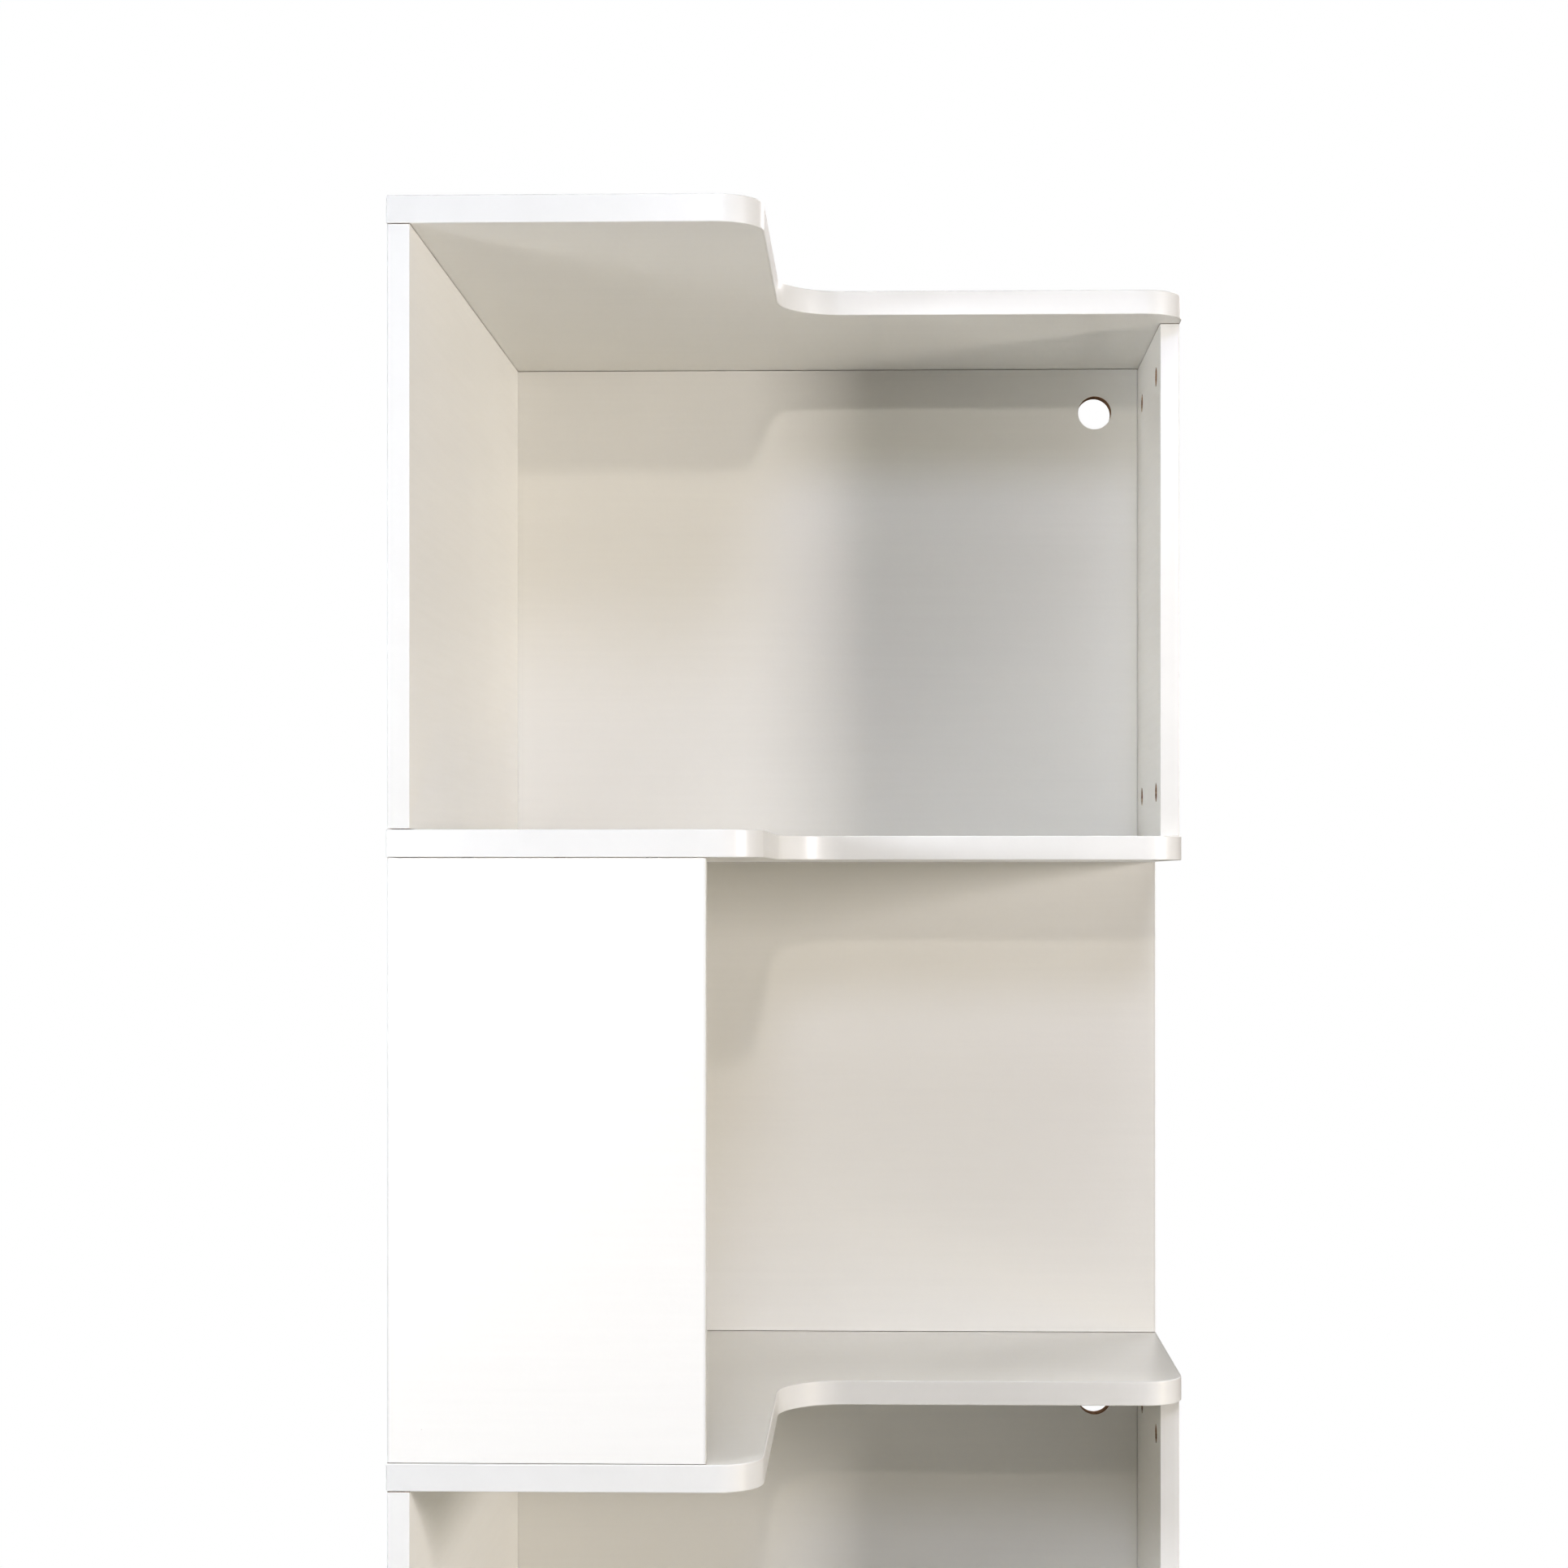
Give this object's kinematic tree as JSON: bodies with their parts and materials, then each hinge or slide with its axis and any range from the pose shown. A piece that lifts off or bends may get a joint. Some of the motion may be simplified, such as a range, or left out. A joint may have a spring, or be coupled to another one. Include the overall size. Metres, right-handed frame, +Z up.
{
  "type": "l-shaped corner bookcase",
  "caption": "Tall open corner bookcase of white boards: L-shaped shelves with rounded corners, and a narrow end panel that changes sides from tier to tier.",
  "frame": {"origin": "centre of the square footprint, on the floor under the glides", "axes": "+Z up, +Y towards the back wall, -X towards the left wall, so the cut-out corner of the L faces +X and -Y"},
  "size_m": [0.45, 0.45, 1.704],
  "materials": {
    "white_board": "white melamine facing on chipboard, satin, with a fine embossed grain and matching edge bands",
    "cam_zinc": "die-cast zinc, dull grey",
    "dowel_beech": "raw fluted beech",
    "glide_plastic": "moulded off-white plastic, matte"
  },
  "bodies": {
    "root": {"bottom_shelf": "white_board", "shelf_2": "white_board", "shelf_3": "white_board", "shelf_4": "white_board", "shelf_5": "white_board", "top_shelf": "white_board", "left_panel_1": "white_board", "back_panel_1": "white_board", "end_panel_1": "white_board", "left_panel_2": "white_board", "back_panel_2": "white_board", "end_panel_2": "white_board", "left_panel_3": "white_board", "back_panel_3": "white_board", "end_panel_3": "white_board", "left_panel_4": "white_board", "back_panel_4": "white_board", "end_panel_4": "white_board", "left_panel_5": "white_board", "back_panel_5": "white_board", "end_panel_5": "white_board", "cam_fitting_1_lower_room": "cam_zinc", "cam_fitting_1_lower_wall": "cam_zinc", "cam_fitting_1_upper_room": "cam_zinc", "cam_fitting_1_upper_wall": "cam_zinc", "cam_fitting_2_lower_room": "cam_zinc", "cam_fitting_2_lower_wall": "cam_zinc", "cam_fitting_2_upper_room": "cam_zinc", "cam_fitting_2_upper_wall": "cam_zinc", "cam_fitting_3_lower_room": "cam_zinc", "cam_fitting_3_lower_wall": "cam_zinc", "cam_fitting_3_upper_room": "cam_zinc", "cam_fitting_3_upper_wall": "cam_zinc", "cam_fitting_4_lower_room": "cam_zinc", "cam_fitting_4_lower_wall": "cam_zinc", "cam_fitting_4_upper_room": "cam_zinc", "cam_fitting_4_upper_wall": "cam_zinc", "cam_fitting_5_lower_room": "cam_zinc", "cam_fitting_5_lower_wall": "cam_zinc", "cam_fitting_5_upper_room": "cam_zinc", "cam_fitting_5_upper_wall": "cam_zinc", "dowel_1_lower": "dowel_beech", "dowel_1_upper": "dowel_beech", "dowel_2_lower": "dowel_beech", "dowel_2_upper": "dowel_beech", "dowel_3_lower": "dowel_beech", "dowel_3_upper": "dowel_beech", "dowel_4_lower": "dowel_beech", "dowel_4_upper": "dowel_beech", "dowel_5_lower": "dowel_beech", "dowel_5_upper": "dowel_beech", "floor_glide_1": "glide_plastic", "floor_glide_2": "glide_plastic", "floor_glide_3": "glide_plastic", "floor_glide_4": "glide_plastic", "floor_glide_5": "glide_plastic", "floor_glide_6": "glide_plastic"}
  },
  "joints": []
}
